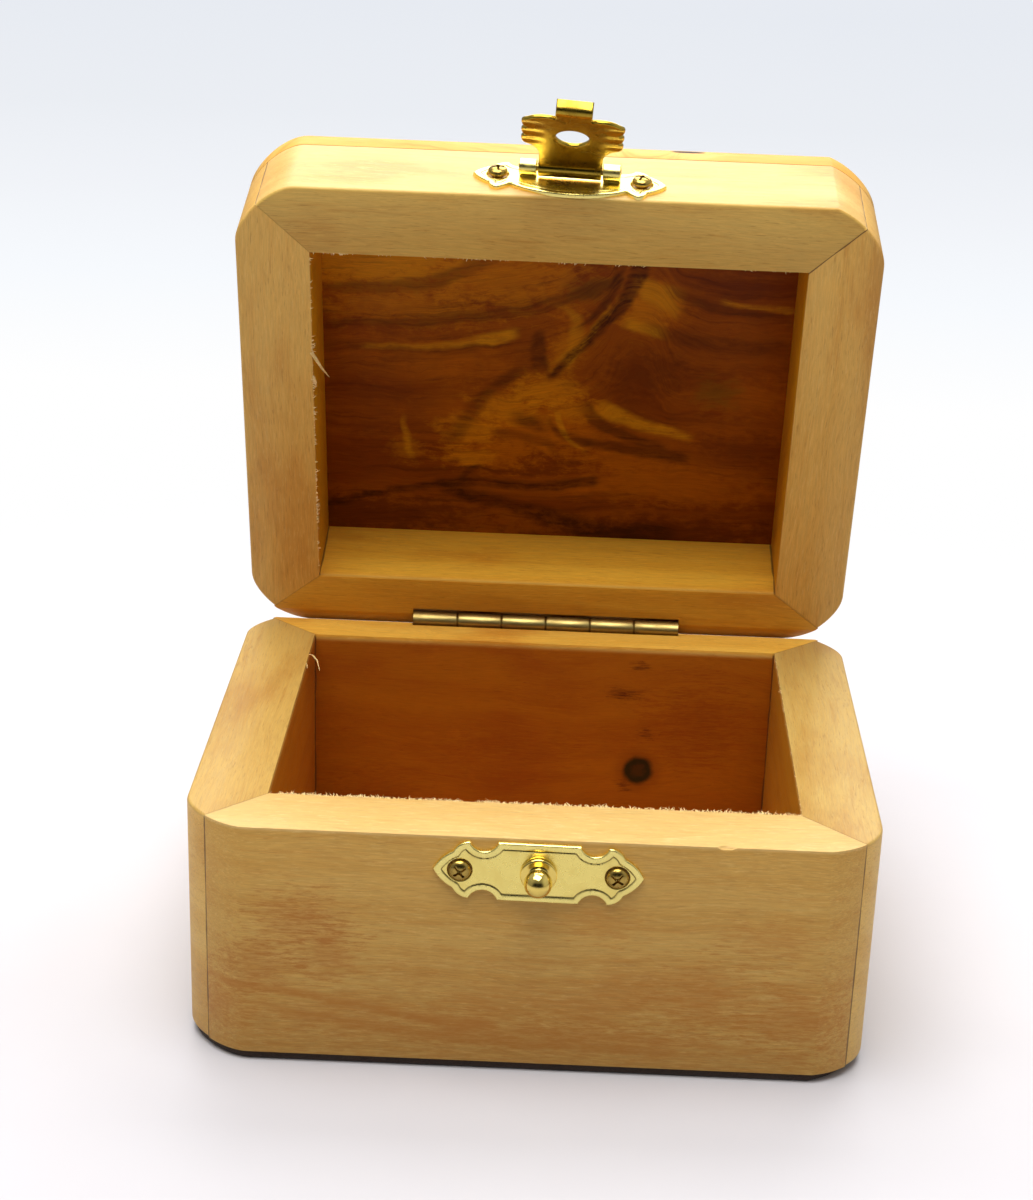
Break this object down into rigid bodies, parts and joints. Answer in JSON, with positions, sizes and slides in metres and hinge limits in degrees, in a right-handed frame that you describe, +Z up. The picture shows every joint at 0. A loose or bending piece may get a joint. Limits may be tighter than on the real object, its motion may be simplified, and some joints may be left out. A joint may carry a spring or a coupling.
{
  "type": "hinged wooden rosary box",
  "caption": "A small olive-wood rosary box with mitred walls, a hinged lid standing open, and a brass hasp with a ball catch.",
  "frame": {"origin": "the centre of the underside of the felt pad, on the surface that the box stands on", "axes": "+X to the right as seen from the front, +Y from the front to the hinge side, +Z up"},
  "size_m": [0.09, 0.094, 0.1189],
  "materials": {
    "base_wood": "waxed olive wood, golden brown with darker streaks",
    "base_floor_wood": "waxed olive wood, reddish brown",
    "lid_wood": "waxed olive wood, golden brown with darker streaks",
    "lid_panel_wood": "waxed burl olive wood with dark sweeping streaks",
    "felt": "dark felt",
    "hinge_brass": "lacquered brass",
    "fitting_brass": "bright stamped brass plate",
    "screw_brass": "bright brass",
    "tongue_brass": "stamped brass, a little tarnished"
  },
  "bodies": {
    "base": {"base_front_board": "base_wood", "base_back_board": "base_wood", "base_left_board": "base_wood", "base_right_board": "base_wood", "base_bottom_panel": "base_floor_wood", "base_felt_pad": "felt", "hinge_leaf_base": "hinge_brass", "hinge_pin": "hinge_brass", "hinge_screws_base": "screw_brass", "catch_plate": "fitting_brass", "catch_knob": "fitting_brass", "catch_screws": "screw_brass"},
    "lid": {"lid_front_board": "lid_wood", "lid_back_board": "lid_wood", "lid_left_board": "lid_wood", "lid_right_board": "lid_wood", "lid_top_panel": "lid_panel_wood", "hinge_leaf_lid": "hinge_brass", "hinge_screws_lid": "screw_brass", "hasp_plate": "fitting_brass", "hasp_pin": "screw_brass", "hasp_screws": "screw_brass"},
    "hasp_tongue": {"hasp_tongue": "tongue_brass"}
  },
  "joints": [
    {"name": "lid_hinge", "type": "hinge", "parent": "base", "child": "lid", "pos_m": [0, 0.0349, 0.03445], "axis": [1, 0, 0], "range_deg": [0, 77]},
    {"name": "hasp_swing", "type": "hinge", "parent": "lid", "child": "hasp_tongue", "pos_m": [0.001, 0.02347, 0.10683], "axis": [0.9969, -0.0764, -0.0176], "range_deg": [-120, 50]}
  ]
}
